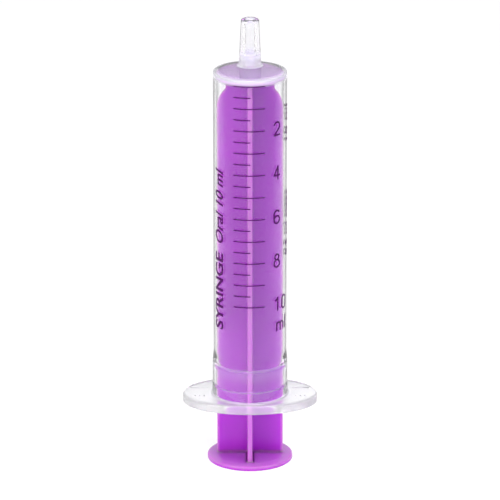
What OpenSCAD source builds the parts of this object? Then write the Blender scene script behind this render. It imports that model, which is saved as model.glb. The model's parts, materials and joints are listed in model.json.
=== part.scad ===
// Oral syringe: a clear barrel with a printed scale, and a purple plunger that slides and turns in it.
// It stands on its thumb disc. The origin is the centre of the thumb disc's underside and +Z runs up the
// barrel's axis to the nozzle's end, where the nozzle stands a little behind the axis. The scale faces -Y.
// All sizes are in millimetres.

/* [Barrel] */
// Inner diameter of the barrel, which sets the length of one millilitre
bore_d = 15.5; // [15.2:0.1:17]
// Thickness of the barrel's wall
wall = 0.75; // [0.5:0.05:1]
// Thickness of the flat wall that closes the barrel below the nozzle
end_wall_t = 0.7; // [0.5:0.1:2]
// Extra radius of the thicker wall next to the flange
base_extra = 0.25; // [0.1:0.05:0.5]
// Volume that the scale shows, in millilitres
scale_ml = 10; // [4:1:10]

/* [Nozzle] */
// Diameter of the nozzle at its foot
nozzle_foot_d = 5.1; // [4.6:0.1:6]
// Diameter of the nozzle at its tip
nozzle_tip_d = 4.2; // [3.8:0.1:4.5]
// Length of the nozzle
nozzle_len = 11.1; // [8:0.1:16]
// Distance of the nozzle's axis behind the barrel's axis
nozzle_back = 4.3; // [0:0.1:4.8]
// Diameter of the passage through the nozzle
nozzle_bore_d = 2.2; // [1.4:0.1:2.6]

/* [Finger flange] */
// Width across the two ears
flange_w = 31.4; // [28:0.2:36]
// Depth from front to back
flange_d = 20.6; // [19.8:0.2:22]
// Thickness of the flange
flange_t = 2.2; // [1.4:0.1:3]

/* [Plunger] */
// Width across opposite ribs
rod_w = 15.3; // [14:0.1:15.3]
// Thickness of each rib
rib_t = 1.1; // [0.8:0.1:1.6]
// Diameter of the thumb disc
thumb_d = 19.8; // [18:0.2:24]
// Thickness of the thumb disc at its rim
thumb_rim_t = 1.1; // [0.8:0.1:2]
// Thickness of the piston
piston_t = 0.7; // [0.6:0.1:1.5]
// Gap between the closed plunger's thumb disc and the flange
finger_gap = 12.9; // [9:0.1:20]

/* [Printed scale] */
// Height of the numerals
glyph_h = 3.5; // [2.5:0.1:4]
// Width of a numeral
glyph_w = 2.2; // [1.6:0.1:2.6]
// Width of the numerals' strokes
stroke_w = 0.42; // [0.3:0.02:0.5]
// Width of a graduation line
line_w = 0.26; // [0.15:0.01:0.4]

/* [Hidden] */
NUMERALS = [for (ml = [2:2:10]) ml];
$fn = 96;

// Radii of the barrel
bore_r = bore_d / 2;
barrel_r = bore_r + wall;
base_r = barrel_r + base_extra;
bead_r = bore_r - 0.075;        // the bead that keeps the piston in
guide_r = bore_r + 0.15;        // the wider bore behind the bead
mouth_r = bore_r + 0.45;        // the lead-in at the open end
edge = 0.3;                     // rounding of the barrel's top edge

// Radii of the plunger
fit_gap = 0.03;                 // running clearance of the sealing lip
lip_r = bore_r - fit_gap;
rod_r = rod_w / 2;
thumb_r = thumb_d / 2;
thumb_rise = 0.3;               // how far the middle of the thumb disc stands above its rim

// Heights, from the thumb disc's underside up
thumb_top_z = thumb_rim_t + thumb_rise;
flange_z = thumb_rim_t + finger_gap;
flange_top_z = flange_z + flange_t;
mouth_step_z = flange_top_z + 2.5;
bead_z = mouth_step_z + 5.3;
base_step_z = bead_z + 1;
ml_pitch = 1000 / (PI * bore_r * bore_r);
free_tube = 14.8;              // plain tube between the base step and the last line of the scale
zero_z = base_step_z + free_tube + scale_ml * ml_pitch;
tube_top_z = zero_z + 0.7;      // the inner face of the end wall
barrel_top_z = tube_top_z + end_wall_t;
nozzle_top_z = barrel_top_z + nozzle_len;
stop_gap = 0.05;                // the closed piston stops this far from the end wall
piston_top_z = tube_top_z - stop_gap;
rod_top_z = piston_top_z - piston_t;

// Printing. Angles are measured from the front, positive towards +X.
ink_t = 0.05;
ink_r = barrel_r + ink_t;
line_from = -26.3;
one_ml_to = 23.7;
half_ml_to = 0.6;
numeral_angle = 46.5;
digit_step = 18.5;
unit_angle = 55;
unit_drop = 5;                  // the unit's middle lies this far below the last line

// Points of an arc about a centre, from angle a0 to a1.
function arc(c, r, a0, a1, n = 12) =
    [for (i = [0:n]) let (a = a0 + (a1 - a0) * i / n) [c[0] + r * cos(a), c[1] + r * sin(a)]];

function reversed(list) = [for (i = [len(list) - 1:-1:0]) list[i]];

// ---------------------------------------------------------------- barrel

// The tube: a thicker base with a lead-in, the retaining bead, and a plain bore above it.
module barrel_tube() {
    bead_half = 0.45;
    slope = 0.7;
    step_half = 0.15;
    foot_cut = [0.12, 0.3];
    color([0.93, 0.95, 0.97, 0.35])
    rotate_extrude()
    polygon([
        [mouth_r + foot_cut[0], flange_z],
        [base_r, flange_z],
        [base_r, base_step_z - slope],
        [barrel_r, base_step_z + slope],
        [barrel_r, tube_top_z],
        [bore_r, tube_top_z],
        [bore_r, bead_z + bead_half],
        [bead_r, bead_z],
        [guide_r, bead_z - bead_half],
        [guide_r, mouth_step_z + step_half],
        [mouth_r, mouth_step_z - step_half],
        [mouth_r, flange_z + foot_cut[1]],
    ]);
}

// The flat wall across the top of the tube, with the passage to the nozzle.
module end_wall() {
    color([0.93, 0.95, 0.97, 0.35])
    difference() {
        rotate_extrude()
        polygon(concat(
            [[0, tube_top_z], [barrel_r, tube_top_z]],
            arc([barrel_r - edge, barrel_top_z - edge], edge, 0, 90, 5),
            [[0, barrel_top_z]]
        ));
        translate([0, nozzle_back, tube_top_z - 1]) cylinder(h = end_wall_t + 2, r = nozzle_bore_d / 2);
    }
}

// The tapered oral nozzle, with a flared foot and a rounded lip.
module nozzle() {
    foot_r = nozzle_foot_d / 2;
    tip_r = nozzle_tip_d / 2;
    flare = 0.7;
    lip = 0.55;
    color([0.93, 0.95, 0.97, 0.35])
    translate([0, nozzle_back, 0])
    rotate_extrude()
    polygon(concat(
        [[nozzle_bore_d / 2, barrel_top_z]],
        reversed(arc([foot_r + flare, barrel_top_z + flare], flare, 180, 270, 6)),
        arc([tip_r - lip, nozzle_top_z - lip], lip, 0, 90, 6),
        [[nozzle_bore_d / 2, nozzle_top_z]]
    ));
}

// The oval finger flange around the mouth, with a shallow grip panel in each ear. The hole takes the tube.
module finger_flange() {
    sides = 96;
    panel_t = 0.3;
    panel_in = base_r + 0.9;
    panel_out = flange_w / 2 - 1.9;
    panel_half = 3.2;
    color([0.93, 0.95, 0.97, 0.35])
    difference() {
        translate([0, 0, flange_z])
        linear_extrude(flange_t)
        polygon([for (i = [0:sides - 1]) let (a = 360 * i / sides)
            [flange_w / 2 * cos(a), flange_d / 2 * sin(a)]]);
        translate([0, 0, flange_z - 1]) cylinder(h = flange_t + 2, r = base_r);
        for (side = [0, 180])
            rotate([0, 0, side])
            translate([panel_in, -panel_half, flange_top_z - panel_t])
            cube([panel_out - panel_in, 2 * panel_half, 1]);
    }
}

// ---------------------------------------------------------------- plunger

// The piston: a thin disc whose rim is the sealing lip.
module piston() {
    back_cut = 0.2;
    top_cut = 0.1;
    color([0.62, 0.30, 0.76])
    rotate_extrude()
    polygon([
        [0, rod_top_z],
        [lip_r - back_cut, rod_top_z],
        [lip_r, rod_top_z + back_cut],
        [lip_r, piston_top_z - top_cut],
        [lip_r - top_cut, piston_top_z],
        [0, piston_top_z],
    ]);
}

// One rib right across the rod, with round shoulders and a narrower neck under the piston.
module rib() {
    neck = 5.6;
    shoulder_r = 6;
    shoulder_x = rod_r - shoulder_r;
    shoulder_z = rod_top_z - 7.3;
    meet = acos((neck - shoulder_x) / shoulder_r);
    rotate([90, 0, 0])
    linear_extrude(rib_t, center = true)
    polygon(concat(
        [[-rod_r, thumb_top_z], [rod_r, thumb_top_z]],
        arc([shoulder_x, shoulder_z], shoulder_r, 0, meet),
        [[neck, rod_top_z], [-neck, rod_top_z]],
        arc([-shoulder_x, shoulder_z], shoulder_r, 180 - meet, 180)
    ));
}

// The rod: two ribs that cross on the axis.
module rod_ribs() {
    color([0.62, 0.30, 0.76])
    union() {
        rib();
        rotate([0, 0, 90]) rib();
    }
}

// The thumb disc, flat underneath, with a raised middle that the ribs stand on.
module thumb_disc() {
    soft = 0.2;
    flat_r = rod_r + 0.2;
    color([0.62, 0.30, 0.76])
    rotate_extrude()
    polygon([
        [0, 0],
        [thumb_r - soft, 0],
        [thumb_r, soft],
        [thumb_r, thumb_rim_t - soft],
        [thumb_r - soft, thumb_rim_t],
        [flat_r, thumb_top_z],
        [0, thumb_top_z],
    ]);
}

// ---------------------------------------------------------------- printed scale

// A band of ink round the front of the barrel, at one height.
module graduation(z, to_angle) {
    rotate([0, 0, line_from - 90])
    translate([0, 0, z - line_w / 2])
    rotate_extrude(angle = to_angle - line_from)
    translate([barrel_r, 0])
    square([ink_t, line_w]);
}

module one_ml_lines() {
    color([0.13, 0.06, 0.17])
    for (ml = [0:scale_ml]) graduation(zero_z - ml * ml_pitch, one_ml_to);
}

module half_ml_lines() {
    color([0.13, 0.06, 0.17])
    for (ml = [0:scale_ml - 1]) graduation(zero_z - (ml + 0.5) * ml_pitch, half_ml_to);
}

// Flat strokes, from which the numerals are drawn.
module arc_stroke(c, r, a0, a1) {
    polygon(concat(
        arc(c, r + stroke_w / 2, a0, a1, 16),
        reversed(arc(c, r - stroke_w / 2, a0, a1, 16))
    ));
}

module line_stroke(a, b) {
    d = b - a;
    translate(a)
    rotate(atan2(d[1], d[0]))
    translate([-stroke_w / 4, -stroke_w / 2])
    square([norm(d) + stroke_w / 2, stroke_w]);
}

module ring_stroke(c, r) {
    translate(c)
    difference() {
        circle(r + stroke_w / 2);
        circle(r - stroke_w / 2);
    }
}

// The half width and half height of a numeral, along the middle of its strokes.
half_w = (glyph_w - stroke_w) / 2;
half_h = (glyph_h - stroke_w) / 2;
bow_y = half_h - half_w;

module digit(d) {
    stem_x = half_w * 0.35;
    if (d == 0) {
        arc_stroke([0, bow_y], half_w, 0, 180);
        arc_stroke([0, -bow_y], half_w, 180, 360);
        for (side = [-1, 1]) line_stroke([side * half_w, -bow_y], [side * half_w, bow_y]);
    }
    if (d == 1) {
        line_stroke([stem_x, -half_h], [stem_x, half_h]);
        line_stroke([stem_x - half_w * 0.8, half_h * 0.55], [stem_x, half_h]);
    }
    if (d == 2) {
        turn = -38;
        arc_stroke([0, bow_y], half_w, turn, 170);
        line_stroke([half_w * cos(turn), bow_y + half_w * sin(turn)], [-half_w, -half_h]);
        line_stroke([-half_w, -half_h], [half_w, -half_h]);
    }
    if (d == 4) {
        bar_y = -half_h * 0.38;
        line_stroke([stem_x, -half_h], [stem_x, half_h]);
        line_stroke([stem_x, half_h], [-half_w, bar_y]);
        line_stroke([-half_w, bar_y], [half_w, bar_y]);
    }
    if (d == 6) {
        ring_stroke([0, -bow_y], half_w);
        line_stroke([-half_w, -bow_y], [-half_w, bow_y]);
        arc_stroke([0, bow_y], half_w, 25, 180);
    }
    if (d == 8) {
        top_r = half_h - half_w;
        ring_stroke([0, -bow_y], half_w);
        ring_stroke([0, half_h - top_r], top_r);
    }
}

module letter_m() {
    x_h = glyph_h * 0.62;
    step = half_w * 0.72;
    foot = -half_h;
    bow = foot + x_h - step - stroke_w / 2;
    for (x = [-2, 0, 2]) line_stroke([x * step, foot], [x * step, bow]);
    for (x = [-1, 1]) arc_stroke([x * step, bow], step, 0, 180);
    line_stroke([-2 * step, foot], [-2 * step, foot + x_h - stroke_w / 2]);
}

module letter_l() {
    line_stroke([0, -half_h], [0, half_h]);
}

// Puts flat drawing on the barrel as a film of ink, centred at an angle and a height.
module printed(angle, z) {
    reach = 2;
    intersection() {
        difference() {
            translate([0, 0, z - glyph_h]) cylinder(h = 2 * glyph_h, r = ink_r);
            translate([0, 0, z - glyph_h - 1]) cylinder(h = 2 * glyph_h + 2, r = barrel_r);
        }
        rotate([0, 0, angle])
        translate([0, -barrel_r + reach, z])
        rotate([90, 0, 0])
        linear_extrude(2 * reach)
        children();
    }
}

module numeral(ml) {
    z = zero_z - ml * ml_pitch;
    color([0.13, 0.06, 0.17])
    if (ml < 10) {
        printed(numeral_angle, z) digit(ml);
    } else {
        printed(numeral_angle, z) digit(floor(ml / 10));
        printed(numeral_angle + digit_step, z) digit(ml % 10);
    }
}

module unit_label() {
    z = zero_z - scale_ml * ml_pitch - unit_drop;
    color([0.13, 0.06, 0.17]) {
        printed(unit_angle, z) letter_m();
        printed(unit_angle + digit_step * 0.8, z) letter_l();
    }
}

barrel_tube();
end_wall();
nozzle();
finger_flange();
piston();
rod_ribs();
thumb_disc();
one_ml_lines();
half_ml_lines();
unit_label();
for (ml = NUMERALS) numeral(ml);
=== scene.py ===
"""An oral syringe: a clear barrel with a printed scale, and a purple plunger that slides and turns in it."""

import json
import math

import bmesh
import bpy
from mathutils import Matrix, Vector


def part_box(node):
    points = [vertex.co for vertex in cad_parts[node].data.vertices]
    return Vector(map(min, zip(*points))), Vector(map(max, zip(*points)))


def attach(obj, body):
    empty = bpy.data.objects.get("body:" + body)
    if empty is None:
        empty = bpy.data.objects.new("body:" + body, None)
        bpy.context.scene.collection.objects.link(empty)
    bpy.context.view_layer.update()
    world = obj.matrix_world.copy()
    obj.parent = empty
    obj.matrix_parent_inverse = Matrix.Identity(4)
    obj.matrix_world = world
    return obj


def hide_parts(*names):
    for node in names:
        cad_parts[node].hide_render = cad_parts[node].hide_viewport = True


MM = 0.001
TURN = 2 * math.pi
LATHE_STEPS = 160  # faces round a turned piece
MILK = "milk"  # the attribute that says how milky the clear plastic is, from 0 to 1
PAINTED_SHEEN = "painted_sheen"  # the attribute that says how much painted highlight and sheen the plunger's edges, piston rim and thumb disc get, from 0 to 1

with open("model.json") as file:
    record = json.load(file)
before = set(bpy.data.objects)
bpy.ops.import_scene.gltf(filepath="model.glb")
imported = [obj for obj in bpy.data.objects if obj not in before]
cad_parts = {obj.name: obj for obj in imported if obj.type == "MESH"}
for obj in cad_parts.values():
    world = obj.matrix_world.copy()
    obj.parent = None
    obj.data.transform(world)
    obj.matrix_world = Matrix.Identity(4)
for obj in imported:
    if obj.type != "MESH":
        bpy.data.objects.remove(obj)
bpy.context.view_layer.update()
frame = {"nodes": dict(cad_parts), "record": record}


# ---------------------------------------------------------------- sizes read from the frame, in millimetres


def box_mm(node):
    low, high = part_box(node)
    return low / MM, high / MM


tube_low, tube_high = box_mm("barrel_tube")
wall_low, wall_high = box_mm("end_wall")
nozzle_low, nozzle_high = box_mm("nozzle")
flange_low, flange_high = box_mm("finger_flange")
piston_low, piston_high = box_mm("piston")
rod_low, rod_high = box_mm("rod_ribs")
thumb_low, thumb_high = box_mm("thumb_disc")

BASE_R = tube_high.x
BARREL_R = wall_high.x
LIP_R = piston_high.x  # the piston's sealing lip
BORE_R = LIP_R + 0.03
BEAD_R = BORE_R - 0.075  # the bead that keeps the plunger in
GUIDE_R = BORE_R + 0.15  # the bore below the bead
MOUTH_R = BORE_R + 0.45
NOZZLE_FLARE = 0.7  # how far the nozzle's foot flares out onto the end wall
FLARE_R = nozzle_high.x
PASSAGE_R = 1.1
NOZZLE_FOOT_R = FLARE_R - NOZZLE_FLARE
NOZZLE_TIP_R = 2.1

FLANGE_Z = flange_low.z
FLANGE_TOP_Z = flange_high.z
MOUTH_STEP_Z = FLANGE_TOP_Z + 2.5
BEAD_Z = MOUTH_STEP_Z + 5.3
BASE_STEP_Z = BEAD_Z + 1
TUBE_TOP_Z = tube_high.z
BARREL_TOP_Z = wall_high.z
NOZZLE_TOP_Z = nozzle_high.z
NOZZLE_BACK = (nozzle_low.y + nozzle_high.y) / 2  # the nozzle's axis stands this far behind the barrel's

ROD_R = rod_high.x
RIB_T = 1.1
EDGE_BAND = 0.7  # width of the band of painted highlight along the ribs' edges
THUMB_R = thumb_high.x
THUMB_RIM_T = 1.1
THUMB_TOP_Z = thumb_high.z
ROD_TOP_Z = rod_high.z


# ---------------------------------------------------------------- nodes


class Nodes:
    """A material's or world's node tree, with short calls to add and link nodes."""

    def __init__(self, tree):
        self.tree = tree
        tree.nodes.clear()

    def add(self, kind, settings=None, **inputs):
        node = self.tree.nodes.new(kind)
        for name, value in (settings or {}).items():
            setattr(node, name, value)
        for name, value in inputs.items():
            self.set(node, name.replace("_", " "), value)
        return node

    def set(self, node, name, value):
        socket = node.inputs[name]
        if isinstance(value, bpy.types.NodeSocket):
            self.tree.links.new(value, socket)
        else:
            socket.default_value = value


def new_material(name):
    material = bpy.data.materials.new(name)
    material.use_nodes = True
    return material, Nodes(material.node_tree)


def surface(nodes, shader):
    output = nodes.add("ShaderNodeOutputMaterial")
    nodes.tree.links.new(shader.outputs[0], output.inputs["Surface"])


def ramp(nodes, factor, stops):
    """A colour ramp with the given (position, colour) stops."""
    node = nodes.add("ShaderNodeValToRGB", Fac=factor)
    elements = node.color_ramp.elements
    while len(elements) < len(stops):
        elements.new(0.5)
    for element, (position, colour) in zip(elements, stops):
        element.position = position
        element.color = colour
    return node.outputs["Color"]


def noise(nodes, scale, detail=4.0, stretch=(1, 1, 1)):
    """Noise in the object's own space, with its scale given per metre."""
    place = nodes.add("ShaderNodeTexCoord").outputs["Object"]
    mapping = nodes.add("ShaderNodeMapping", Vector=place, Scale=stretch)
    return nodes.add(
        "ShaderNodeTexNoise", Vector=mapping.outputs["Vector"], Scale=scale, Detail=detail
    ).outputs["Fac"]


def clear_plastic():
    """Natural polypropylene: clear where it is thin, milky where it is thick, with grey painted shade along
    its edges.
    """
    material, nodes = new_material("clear_plastic")
    flow = noise(nodes, 40, 2.0, (1, 1, 0.25))
    milk = nodes.add("ShaderNodeAttribute", {"attribute_name": MILK}).outputs["Fac"]
    thin = nodes.add(
        "ShaderNodeMapRange", Value=milk, From_Min=0.05, From_Max=0.3, To_Min=1.0, To_Max=0.6
    ).outputs["Result"]
    # Painted shade: the colour goes grey, then nearly black, as the surface turns edge-on to the view,
    # standing in for darker surroundings reflected there; milkier parts get less of it
    facing = nodes.add("ShaderNodeLayerWeight", Blend=0.5).outputs["Facing"]
    edge = nodes.add("ShaderNodeMath", {"operation": "MULTIPLY"})
    nodes.tree.links.new(facing, edge.inputs[0])
    nodes.tree.links.new(thin, edge.inputs[1])
    painted_edge_shade = ramp(nodes, edge.outputs[0], [
        (0.0, (0.985, 0.988, 0.995, 1)),
        (0.55, (0.95, 0.955, 0.965, 1)),
        (0.66, (0.50, 0.505, 0.51, 1)),
        (0.74, (0.14, 0.14, 0.145, 1)),
        (0.84, (0.04, 0.04, 0.045, 1)),
    ])
    haze = ramp(nodes, milk, [
        (0.01, (1, 1, 1, 1)),
        (0.03, (0.94, 0.94, 0.943, 1)),
        (0.07, (0.94, 0.94, 0.96, 1)),
        (0.1, (0.84, 0.82, 0.92, 1)),
        (0.2, (0.81, 0.81, 0.87, 1)),
        (0.28, (0.84, 0.845, 0.85, 1)),
        (0.5, (0.76, 0.76, 0.82, 1)),
    ])
    colour = nodes.add("ShaderNodeMix", {"data_type": "RGBA", "blend_type": "MULTIPLY"})
    colour.inputs["Factor"].default_value = 1.0
    nodes.tree.links.new(painted_edge_shade, colour.inputs[6])
    nodes.tree.links.new(haze, colour.inputs[7])
    rough = nodes.add(
        "ShaderNodeMapRange", Value=flow, From_Min=0.3, From_Max=0.7, To_Min=0.03, To_Max=0.05
    ).outputs["Result"]
    clearness = nodes.add(
        "ShaderNodeMapRange", Value=milk, From_Min=0.0, From_Max=1.0, To_Min=1.0, To_Max=0.0
    ).outputs["Result"]
    plastic = nodes.add(
        "ShaderNodeBsdfPrincipled", Base_Color=colour.outputs[2], Roughness=rough, IOR=1.49,
        Transmission_Weight=clearness, Subsurface_Weight=1.0, Subsurface_Scale=0.001,
        Subsurface_Radius=(1.0, 1.0, 1.0),
    )
    # Lamps shine through to what is inside
    passing = nodes.add("ShaderNodeBsdfTransparent", Color=(0.87, 0.87, 0.88, 1))
    is_shadow = nodes.add("ShaderNodeLightPath").outputs["Is Shadow Ray"]
    shader = nodes.add("ShaderNodeMixShader", Fac=is_shadow)
    nodes.tree.links.new(plastic.outputs[0], shader.inputs[1])
    nodes.tree.links.new(passing.outputs[0], shader.inputs[2])
    surface(nodes, shader)
    return material


def purple_plastic():
    """Purple polyethylene: evenly dyed, satin, with faint flow streaks from moulding, and lighter where
    painted highlight and sheen are mixed in along its edges.
    """
    material, nodes = new_material("purple_plastic")
    streaks = noise(nodes, 160, 5.0, (1, 1, 0.12))
    colour = ramp(nodes, streaks, [
        (0.3, (0.318, 0.020, 0.435, 1)),
        (0.7, (0.340, 0.024, 0.460, 1)),
    ])
    # Painted highlight and sheen: the attribute mixes the purple towards a lighter lilac, which stands in for
    # light on the edges and the thumb disc
    painted_sheen = nodes.add("ShaderNodeAttribute", {"attribute_name": PAINTED_SHEEN}).outputs["Fac"]
    painted_sheen_colour = nodes.add("ShaderNodeMix", {"data_type": "RGBA"})
    for socket, value in ((0, painted_sheen), (6, colour)):
        nodes.tree.links.new(value, painted_sheen_colour.inputs[socket])
    painted_sheen_colour.inputs[7].default_value = (0.36, 0.13, 0.40, 1)
    clouds = noise(nodes, 150, 3.0)
    rough = nodes.add(
        "ShaderNodeMapRange", Value=clouds, From_Min=0.3, From_Max=0.7, To_Min=0.215, To_Max=0.262
    ).outputs["Result"]
    grain = noise(nodes, 1600, 2.0)
    bump = nodes.add("ShaderNodeBump", Height=grain, Strength=0.02, Distance=0.00005)
    shader = nodes.add(
        "ShaderNodeBsdfPrincipled", Base_Color=painted_sheen_colour.outputs[2], Roughness=rough,
        Normal=bump.outputs["Normal"], IOR=1.51, Specular_IOR_Level=0.4, Subsurface_Weight=1.0,
        Subsurface_Scale=0.004, Subsurface_Radius=(1.0, 0.1, 1.2),
    )
    surface(nodes, shader)
    return material


def scale_ink():
    """Printed ink: very dark violet, a little uneven."""
    material, nodes = new_material("scale_ink")
    patches = noise(nodes, 2600, 3.0)
    colour = ramp(nodes, patches, [
        (0.25, (0.050, 0.001, 0.070, 1)),
        (0.75, (0.075, 0.004, 0.100, 1)),
    ])
    shader = nodes.add(
        "ShaderNodeBsdfPrincipled", Base_Color=colour, Roughness=0.5, Specular_IOR_Level=0.15
    )
    surface(nodes, shader)
    return material


def floor_paper():
    """White paper with painted light: it glows by its own emission, brighter round and behind the syringe
    than further off.
    """
    material, nodes = new_material("floor_paper")
    place = nodes.add("ShaderNodeTexCoord").outputs["Object"]
    centred = nodes.add(
        "ShaderNodeMapping", Vector=place, Location=(0, -0.25, 0), Scale=(0.9, 1, 1)
    ).outputs["Vector"]
    distance = nodes.add("ShaderNodeVectorMath", {"operation": "LENGTH"}, Vector=centred).outputs["Value"]
    glow = nodes.add(
        "ShaderNodeMapRange", {"interpolation_type": "SMOOTHSTEP"}, Value=distance,
        From_Min=0.288, From_Max=0.42, To_Min=0.64, To_Max=0.15,
    ).outputs["Result"]
    shader = nodes.add(
        "ShaderNodeBsdfPrincipled", Base_Color=(0.4, 0.4, 0.4, 1), Roughness=1.0,
        Specular_IOR_Level=0.0, Emission_Color=(1, 1, 1, 1), Emission_Strength=glow,
    )
    surface(nodes, shader)
    return material


CLEAR = clear_plastic()
PURPLE = purple_plastic()
INK = scale_ink()


# ---------------------------------------------------------------- mesh tools


def arc(centre, radius, start, end, steps):
    """Points of an arc in degrees, in order, with both ends."""
    angles = [math.radians(start + (end - start) * i / steps) for i in range(steps + 1)]
    return [(centre[0] + radius * math.cos(a), centre[1] + radius * math.sin(a)) for a in angles]


def new_object(name, mesh):
    piece = bpy.data.objects.new(name, mesh)
    bpy.context.scene.collection.objects.link(piece)
    return piece


def mesh_from(name, vertices, faces):
    """A mesh from points in millimetres, with its faces turned outwards."""
    mesh = bpy.data.meshes.new(name)
    mesh.from_pydata([Vector(v) * MM for v in vertices], [], faces)
    work = bmesh.new()
    work.from_mesh(mesh)
    bmesh.ops.remove_doubles(work, verts=work.verts, dist=1e-7)
    bmesh.ops.recalc_face_normals(work, faces=work.faces)
    work.to_mesh(mesh)
    work.free()
    return mesh


def shade(piece, material, sharp_angle=35):
    """Smooth shading that keeps flat faces flat."""
    piece.data.materials.clear()
    piece.data.materials.append(material)
    piece.data.polygons.foreach_set("use_smooth", [True] * len(piece.data.polygons))
    piece.data.set_sharp_from_angle(angle=math.radians(sharp_angle))
    modifier = piece.modifiers.new("weighted", "WEIGHTED_NORMAL")
    modifier.keep_sharp = True


def applied(piece):
    """Replaces a piece's mesh by the one that its modifiers make."""
    depsgraph = bpy.context.evaluated_depsgraph_get()
    mesh = bpy.data.meshes.new_from_object(piece.evaluated_get(depsgraph))
    piece.modifiers.clear()
    piece.data = mesh


def boolean(piece, other, operation):
    modifier = piece.modifiers.new("boolean", "BOOLEAN")
    modifier.operation = operation
    modifier.solver = "EXACT"
    modifier.object = other
    applied(piece)
    bpy.data.objects.remove(other)


def lathe(name, rings, closed):
    """Faces between rings of points, each given as a function of the angle. closed joins the last ring to
    the first. An open lathe's two end rings have their points on the axis."""
    vertices = [ring(TURN * i / LATHE_STEPS) for ring in rings for i in range(LATHE_STEPS)]
    faces = []
    count = len(rings)
    for j in range(count if closed else count - 1):
        k = (j + 1) % count
        for i in range(LATHE_STEPS):
            n = (i + 1) % LATHE_STEPS
            faces.append((j * LATHE_STEPS + i, j * LATHE_STEPS + n, k * LATHE_STEPS + n, k * LATHE_STEPS + i))
    return new_object(name, mesh_from(name, vertices, faces))


def round_ring(r, z, back=0.0):
    return lambda a: (r * math.cos(a), back + r * math.sin(a), z)


def oval_ring(inset, z, share=1.0, inner=0.0):
    """A ring inside the flange's outline by inset, or part of the way there from a circle."""
    half_x, half_y = flange_high.x - inset, flange_high.y - inset

    def at(a):
        x = half_x * math.cos(a) * share + inner * math.cos(a) * (1 - share)
        y = half_y * math.sin(a) * share + inner * math.sin(a) * (1 - share)
        return (x, y, z)

    return at


def flat_rings(inner, outer, z):
    """Rings across the end wall, from a circle about the nozzle's axis to one about the barrel's."""
    return [
        round_ring(inner + (outer - inner) * t, z, NOZZLE_BACK * (1 - t)) for t in (0.2, 0.4, 0.6, 0.8)
    ]


def block(name, low, high):
    """A plain block in millimetres, for cutting with."""
    corners = [(x, y, z) for x in (low[0], high[0]) for y in (low[1], high[1]) for z in (low[2], high[2])]
    faces = [(0, 1, 3, 2), (4, 6, 7, 5), (0, 4, 5, 1), (2, 3, 7, 6), (0, 2, 6, 4), (1, 5, 7, 3)]
    return new_object(name, mesh_from(name, corners, faces))


# ---------------------------------------------------------------- barrel


def eased(start, end, share):
    """A value part of the way from start to end, slow at both ends."""
    return start + (end - start) * (1 - math.cos(math.pi * share)) / 2


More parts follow.
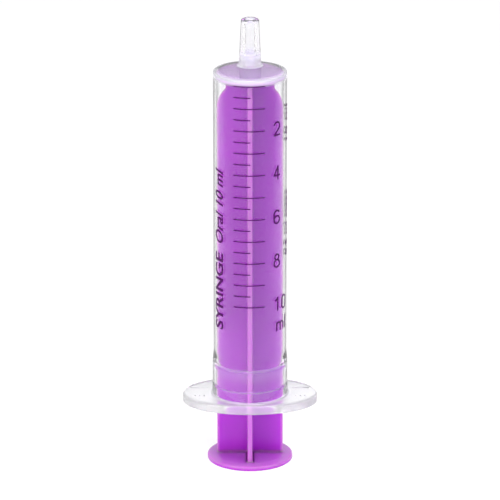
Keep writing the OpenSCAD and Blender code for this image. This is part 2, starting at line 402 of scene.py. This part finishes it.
def barrel_rings():
    """The barrel's section, from the nozzle's mouth down the outside and back up the bore."""
    lip, edge, soft = 0.55, 0.3, 0.2
    foot_fillet, rim_top, rim_low = 0.45, 0.6, 0.4
    step_high, step_low = BASE_STEP_Z + 2.2, BASE_STEP_Z - 1
    shaft_top, shaft_foot = NOZZLE_TOP_Z - lip, BARREL_TOP_Z + NOZZLE_FLARE
    bore_low, bore_high = BEAD_Z + 1, TUBE_TOP_Z - 1
    nozzle = [
        *arc((PASSAGE_R + soft, NOZZLE_TOP_Z - soft), soft, 180, 90, 3),
        *arc((NOZZLE_TIP_R - lip, NOZZLE_TOP_Z - lip), lip, 90, 0, 6),
        *[
            (NOZZLE_TIP_R + (NOZZLE_FOOT_R - NOZZLE_TIP_R) * t, shaft_top - (shaft_top - shaft_foot) * t)
            for t in (0.06, 0.28, 0.5, 0.72, 0.86)
        ],
        *arc((FLARE_R, shaft_foot), NOZZLE_FLARE, 180, 270, 8),
    ]
    end_top = flat_rings(FLARE_R, BARREL_R - edge, BARREL_TOP_Z)
    outside = [
        *arc((BARREL_R - edge, BARREL_TOP_Z - edge), edge, 90, 0, 5),
        (BARREL_R, BARREL_TOP_Z - 0.7),
        *[(BARREL_R, bore_high - (bore_high - step_high) * t / 8) for t in range(9)],
        *[
            (eased(BARREL_R, BASE_R, t / 8), step_high - (step_high - step_low) * t / 8)
            for t in range(1, 9)
        ],
        (BASE_R, (BASE_STEP_Z + FLANGE_TOP_Z) / 2),
        (BASE_R, FLANGE_TOP_Z + foot_fillet + 0.15),
        *arc((BASE_R + foot_fillet, FLANGE_TOP_Z + foot_fillet), foot_fillet, 180, 270, 5),
    ]
    fillet_r = BASE_R + foot_fillet
    top = [oval_ring(rim_top, FLANGE_TOP_Z, share, fillet_r) for share in (0.25, 0.5, 0.75)]
    rim = [
        oval_ring(rim_top - x, z)
        for x, z in arc((0, FLANGE_TOP_Z - rim_top), rim_top, 90, 0, 6)
    ] + [
        oval_ring(rim_low - x, z)
        for x, z in arc((0, FLANGE_Z + rim_low), rim_low, 0, -90, 5)
    ]
    mouth_edge, corner = 0.2, 0.15
    mouth_out = MOUTH_R + mouth_edge
    under = [oval_ring(rim_low, FLANGE_Z, share, mouth_out) for share in (0.75, 0.5, 0.25)]
    inside = [
        *arc((mouth_out, FLANGE_Z + mouth_edge), mouth_edge, 270, 180, 4),
        (MOUTH_R, MOUTH_STEP_Z - 0.4),
        (MOUTH_R - 0.05, MOUTH_STEP_Z - 0.18),
        ((MOUTH_R + GUIDE_R) / 2, MOUTH_STEP_Z),
        (GUIDE_R + 0.05, MOUTH_STEP_Z + 0.18),
        (GUIDE_R, MOUTH_STEP_Z + 0.4),
        *[(eased(GUIDE_R, BEAD_R, t / 6), BEAD_Z - 1 + t / 6) for t in range(7)],
        *[(eased(BEAD_R, BORE_R, t / 4), BEAD_Z + 0.7 * t / 4) for t in range(1, 5)],
        *[(BORE_R, bore_low + (bore_high - bore_low) * t / 8) for t in range(9)],
        *arc((BORE_R - corner, TUBE_TOP_Z - corner), corner, 0, 90, 3),
    ]
    end_under = flat_rings(PASSAGE_R + soft, BORE_R - corner, TUBE_TOP_Z)[::-1]
    passage_low, passage_high = TUBE_TOP_Z + soft, NOZZLE_TOP_Z - soft
    passage = [
        *arc((PASSAGE_R + soft, passage_low), soft, 270, 180, 3),
        *[(PASSAGE_R, passage_low + (passage_high - passage_low) * t) for t in (0.25, 0.5, 0.75)],
    ]
    return (
        [round_ring(r, z, NOZZLE_BACK) for r, z in nozzle]
        + end_top
        + [round_ring(r, z) for r, z in outside]
        + top
        + rim
        + under
        + [round_ring(r, z) for r, z in inside]
        + end_under
        + [round_ring(r, z, NOZZLE_BACK) for r, z in passage]
    )


def cut_grip_panels(barrel):
    """A shallow panel in each ear of the flange, with three raised bars for the fingers."""
    depth, bar_height, bar_half, bar_reach = 0.3, 0.18, 0.18, 2.3
    inner, outer, half = BASE_R + 0.9, flange_high.x - 1.9, 3.2
    for side in (-1, 1):
        low_x, high_x = sorted((side * inner, side * outer))
        cutter = block("cutter", (low_x, -half, FLANGE_TOP_Z - depth), (high_x, half, FLANGE_TOP_Z + 1))
        for i in (1, 2, 3):
            x = side * (inner + (outer - inner) * i / 4)
            bar = block(
                "bar",
                (x - bar_half, -bar_reach, FLANGE_TOP_Z - depth - 0.1),
                (x + bar_half, bar_reach, FLANGE_TOP_Z - depth + bar_height),
            )
            boolean(cutter, bar, "DIFFERENCE")
        boolean(barrel, cutter, "DIFFERENCE")


def milkiness(point):
    """How milky the barrel looks at a point in millimetres, which mostly follows how thick the plastic is; on
    the end wall and at the flange's fillet it also carries painted light and shade.
    """
    radius, z = math.hypot(point.x, point.y), point.z
    # The nozzle: its rounded tip, its shaft, which clears upwards, and the edge of its flared foot
    if z > NOZZLE_TOP_Z - 0.6:
        return 0.10
    if z > BARREL_TOP_Z + 0.05:
        height = min((z - BARREL_TOP_Z) / 3.4, 1)
        return 0.5 if height < 0.08 else 0.30 - 0.27 * height**2
    # The end wall: a little milkier, so lighter, to the front, as painted shade that leaves its back darker;
    # and most at its rim, where the corner is thick and a painted highlight is laid on its rounded edge
    if z > TUBE_TOP_Z - 0.9:
        wall = min((z - TUBE_TOP_Z + 0.9) / 0.9, 1)
        rim = max(0, min((radius - BORE_R) / 0.4, 1))
        return 0.01 + wall * (0.10 - 0.006 * point.y + 0.42 * rim)
    # The flange and the fillet above it; the milkier ring at the fillet's foot is partly thick plastic and
    # partly a painted highlight
    if z < FLANGE_TOP_Z + 0.4 and radius > BASE_R - 0.05:
        return 0.36 if FLANGE_TOP_Z - 0.1 < z and radius < BASE_R + 0.5 else 0.28
    # The mouth's step and the bead, then the thicker base, then the plain tube
    if abs(z - MOUTH_STEP_Z) < 0.2 or abs(z - BEAD_Z) < 0.3:
        return 0.12
    if z < BASE_STEP_Z:
        return 0.015
    return 0.006


def add_share(piece, name, share):
    """Stores a value from 0 to 1 at each point of a piece, for its material to read."""
    mesh = piece.data
    values = mesh.attributes.new(name, "FLOAT", "POINT")
    values.data.foreach_set("value", [share(v.co / MM) for v in mesh.vertices])


def make_barrel():
    barrel = lathe("barrel_moulding", barrel_rings(), closed=True)
    cut_grip_panels(barrel)
    add_share(barrel, MILK, milkiness)
    shade(barrel, CLEAR)
    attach(barrel, "barrel")
    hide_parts("barrel_tube", "end_wall", "nozzle", "finger_flange")


# ---------------------------------------------------------------- plunger


def make_piston():
    """The thin disc at the plunger's end. Its rim is the sealing lip."""
    low, high = piston_low.z, piston_high.z
    soft = 0.12
    profile = [
        (0, low),
        (3, low),
        (LIP_R - 0.45, low),
        (LIP_R - 0.25, low + 0.03),
        (LIP_R - 0.05, low + 0.2),
        (LIP_R, low + 0.3),
        *arc((LIP_R - soft, high - soft), soft, 0, 90, 4),
        (LIP_R - 0.9, high - 0.04),
        (4, high - 0.06),
        (0, high - 0.06),
    ]
    piston = lathe("piston_disc", [round_ring(r, z) for r, z in profile], closed=False)
    # Painted highlight: the rim round the lip is mixed halfway to the lighter lilac, for the light band it
    # shows through the barrel's milky wall
    add_share(piston, PAINTED_SHEEN, lambda p: 0.5 if math.hypot(p.x, p.y) > LIP_R - 0.3 else 0)
    shade(piston, PURPLE)
    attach(piston, "piston")
    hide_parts("piston")


def rod_section(half, thick, fillet):
    """One level of the crossed ribs: four arms with soft ends, joined by small inside fillets."""
    soft = 0.18
    side = thick / 2
    arm = [(half - EDGE_BAND, -side)]
    arm += arc((half - soft, -side + soft), soft, -90, 0, 4) + arc((half - soft, side - soft), soft, 0, 90, 4)
    arm += [(half - EDGE_BAND, side)]
    arm += arc((side + fillet, side + fillet), fillet, 270, 180, 4)
    points = []
    for turn in range(4):
        c, s = math.cos(turn * math.pi / 2), math.sin(turn * math.pi / 2)
        points += [(x * c - y * s, x * s + y * c) for x, y in arm]
    return points


def smooth_max(a, b, soft):
    """The larger of two values, with the corner between them rounded."""
    h = max(soft - abs(a - b), 0) / soft
    return max(a, b) + h * h * soft / 4


def make_rod():
    neck, shoulder_r = 5.6, 6.0
    shoulder_x, shoulder_z = ROD_R - shoulder_r, ROD_TOP_Z - 7.3
    foot, top_fillet = 0.45, 0.35

    def half_width(z):
        if z <= shoulder_z:
            return ROD_R
        rise = min(z - shoulder_z, shoulder_r)
        return smooth_max(neck, shoulder_x + math.sqrt(shoulder_r**2 - rise**2), 0.5)

    def flare(distance, radius):
        return radius - math.sqrt(max(radius**2 - max(radius - distance, 0) ** 2, 0))

    levels = [THUMB_TOP_Z + foot * (1 - math.cos(math.radians(90 * i / 6))) for i in range(7)]
    levels += [THUMB_TOP_Z + 1 + (shoulder_z - THUMB_TOP_Z - 1) * i / 12 for i in range(13)]
    levels += [shoulder_z + (ROD_TOP_Z - top_fillet - shoulder_z) * i / 22 for i in range(1, 23)]
    levels += [ROD_TOP_Z - top_fillet * math.cos(math.radians(90 * i / 5)) for i in range(1, 6)]
    vertices = []
    for z in levels:
        extra = flare(z - THUMB_TOP_Z, foot) + flare(ROD_TOP_Z - z, top_fillet)
        half = min(half_width(z) + extra, ROD_R)
        vertices += [(x, y, z) for x, y in rod_section(half, RIB_T + 2 * extra, 0.3)]
    count = len(vertices) // len(levels)
    faces = [
        (j * count + i, j * count + (i + 1) % count, (j + 1) * count + (i + 1) % count, (j + 1) * count + i)
        for j in range(len(levels) - 1)
        for i in range(count)
    ]
    faces += [tuple(range(count)), tuple(range(count * (len(levels) - 1), count * len(levels)))]
    rod = new_object("rod_moulding", mesh_from("rod_moulding", vertices, faces))

    # Painted highlight and glow along the ribs' edges: none EDGE_BAND in from an edge, full strength 0.2 mm
    # in from it
    def painted_sheen_share(point):
        reach = max(abs(point.x), abs(point.y))
        return max(0, min(1, (reach - half_width(point.z) + EDGE_BAND) / (EDGE_BAND - 0.2)))

    add_share(rod, PAINTED_SHEEN, painted_sheen_share)
    shade(rod, PURPLE)
    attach(rod, "plunger")
    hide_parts("rod_ribs")


def make_thumb_disc():
    """The thumb disc: rounded at its rim, raised a little in the middle, with a gate mark underneath."""
    soft_top, soft_low = 0.35, 0.25
    mark_r, mark_depth, gate_r = 2.2, 0.12, 0.6
    profile = [
        (0, THUMB_TOP_Z),
        (3, THUMB_TOP_Z),
        (6, THUMB_TOP_Z),
        (ROD_R + 0.2, THUMB_TOP_Z),
        (ROD_R + 0.6, THUMB_TOP_Z - 0.06),
        *arc((THUMB_R - soft_top, THUMB_RIM_T - soft_top), soft_top, 80, 0, 6),
        *arc((THUMB_R - soft_low, soft_low), soft_low, 0, -90, 5),
        (6, 0),
        (mark_r + 0.1, 0),
        (mark_r, 0.04),
        (mark_r - 0.1, mark_depth),
        (gate_r + 0.15, mark_depth),
        (gate_r, 0.05),
        (gate_r - 0.15, 0.03),
        (0, 0.03),
    ]
    thumb = lathe("thumb_rest_disc", [round_ring(r, z) for r, z in profile], closed=False)

    # Painted sheen on the top and the rim, growing into a painted highlight at the rim's edge; nothing
    # underneath
    def painted_sheen_share(point):
        return 0.5 + 0.5 * min(math.hypot(point.x, point.y) / THUMB_R, 1) ** 8 if point.z > 0.5 else 0

    add_share(thumb, PAINTED_SHEEN, painted_sheen_share)
    shade(thumb, PURPLE)
    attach(thumb, "plunger")
    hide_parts("thumb_disc")


# ---------------------------------------------------------------- print


def ink_on(piece):
    piece.data.materials.clear()
    piece.data.materials.append(INK)


def print_scale():
    """The scale's lines and numerals are the frame's own, with ink on them."""
    for node in frame["record"]["behaviour"]["bodies"]["barrel"]:
        if node.endswith("_lines") or node.startswith("numeral_") or node == "unit_label":
            ink_on(frame["nodes"][node])


def upright_text(name, words, cap_height, start_z, end_z, angle, weight=0.0, slant=0.0):
    """Lettering that reads up the barrel, its baseline at an angle from the front, as a film of ink."""
    curve = bpy.data.curves.new(name, "FONT")
    curve.body = words
    curve.offset = weight
    curve.shear = slant
    curve.resolution_u = 4
    holder = bpy.data.objects.new(name + "_curve", curve)
    bpy.context.scene.collection.objects.link(holder)
    bpy.context.view_layer.update()
    mesh = bpy.data.meshes.new_from_object(holder.evaluated_get(bpy.context.evaluated_depsgraph_get()))
    bpy.data.objects.remove(holder)
    work = bmesh.new()
    work.from_mesh(mesh)
    low_u, high_u = min(v.co.x for v in work.verts), max(v.co.x for v in work.verts)
    high_v = max(v.co.y for v in work.verts)
    slices = 12  # so that the letters bend round the barrel
    for i in range(1, slices):
        geometry = work.verts[:] + work.edges[:] + work.faces[:]
        bmesh.ops.bisect_plane(work, geom=geometry, plane_co=(0, high_v * i / slices, 0), plane_no=(0, 1, 0))
    bmesh.ops.remove_doubles(work, verts=work.verts, dist=1e-5)
    reach = BARREL_R + 0.03  # the middle of the film of ink
    for v in work.verts:
        along = (v.co.x - low_u) / (high_u - low_u)
        turn = math.radians(angle) - v.co.y / high_v * cap_height / BARREL_R
        v.co = Vector((
            reach * math.sin(turn), -reach * math.cos(turn), start_z + (end_z - start_z) * along
        )) * MM
    bmesh.ops.recalc_face_normals(work, faces=work.faces)
    work.to_mesh(mesh)
    work.free()
    piece = new_object(name, mesh)
    thicken = piece.modifiers.new("film", "SOLIDIFY")
    thicken.thickness = 0.02 * MM
    thicken.offset = 0
    applied(piece)
    ink_on(piece)
    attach(piece, "barrel")


def print_captions():
    upright_text("caption_bold", "SYRINGE", 3.0, 33.5, 52.0, -47.2, weight=0.022)
    upright_text("caption_slanted", "Oral 10 ml", 3.0, 54.4, 72.2, -47.2, weight=0.018, slant=0.2)
    upright_text("caption_small_upper", "10 ml", 1.5, 78.2, 86.8, 83.0, weight=0.02)
    upright_text("caption_small_lower", "0.5 ml steps", 1.5, 50.5, 66.2, 83.0, weight=0.02)


# ---------------------------------------------------------------- stage


def make_floor():
    size = 4.0
    mesh = bpy.data.meshes.new("floor")
    corners = [(-size, -size, 0), (size, -size, 0), (size, size, 0), (-size, size, 0)]
    mesh.from_pydata(corners, [], [(0, 1, 2, 3)])
    mesh.materials.append(floor_paper())
    new_object("floor", mesh)


def area_light(name, place, target, size, power, colour=(1, 1, 1)):
    light = bpy.data.lights.new(name, "AREA")
    light.color = colour
    light.shape = "DISK"
    light.size = size
    light.energy = power
    lamp = new_object(name, light)
    lamp.location = place
    lamp.visible_transmission = False
    lamp.rotation_euler = (Vector(target) - Vector(place)).to_track_quat("-Z", "Y").to_euler()


def make_lights():
    world = bpy.data.worlds.new("studio")
    bpy.context.scene.world = world
    world.use_nodes = True
    nodes = Nodes(world.node_tree)
    direction = nodes.add("ShaderNodeTexCoord").outputs["Generated"]
    axes = nodes.add("ShaderNodeSeparateXYZ", Vector=direction)
    backdrop = nodes.add(
        "ShaderNodeMapRange", {"interpolation_type": "SMOOTHSTEP"}, Value=axes.outputs["Y"],
        From_Min=0.3, From_Max=0.85, To_Min=0.35, To_Max=1.0,
    ).outputs["Result"]
    sky = nodes.add("ShaderNodeBackground", Color=(1, 1, 1, 1), Strength=backdrop)
    output = nodes.add("ShaderNodeOutputWorld")
    nodes.tree.links.new(sky.outputs[0], output.inputs["Surface"])
    middle = (0, 0, 0.05)
    area_light("key", (-0.62, -0.72, 0.36), middle, 0.45, 8.0, (1, 0.98, 0.94))
    area_light("fill", (0.75, -0.6, 0.30), middle, 0.6, 5.2, (0.94, 0.78, 1))
    area_light("top", (0.1, -0.25, 0.9), middle, 0.5, 5.0)


def make_camera():
    """The photograph's view: from a little above, on the scale's side, with a long lens."""
    distance, elevation, middle_z = 1.15, math.radians(18.6), 0.051
    camera = bpy.data.cameras.new("camera")
    camera.sensor_width = 36
    camera.lens = 358.4
    camera.clip_start, camera.clip_end = 0.05, 20
    view = new_object("camera", camera)
    view.location = (0, -distance * math.cos(elevation), middle_z + distance * math.sin(elevation))
    view.rotation_euler = (math.pi / 2 - elevation, 0, 0)
    bpy.context.scene.camera = view


make_camera()
make_barrel()
make_piston()
make_rod()
make_thumb_disc()
print_scale()
print_captions()
make_floor()
make_lights()
bpy.context.scene.view_settings.view_transform = "Standard"
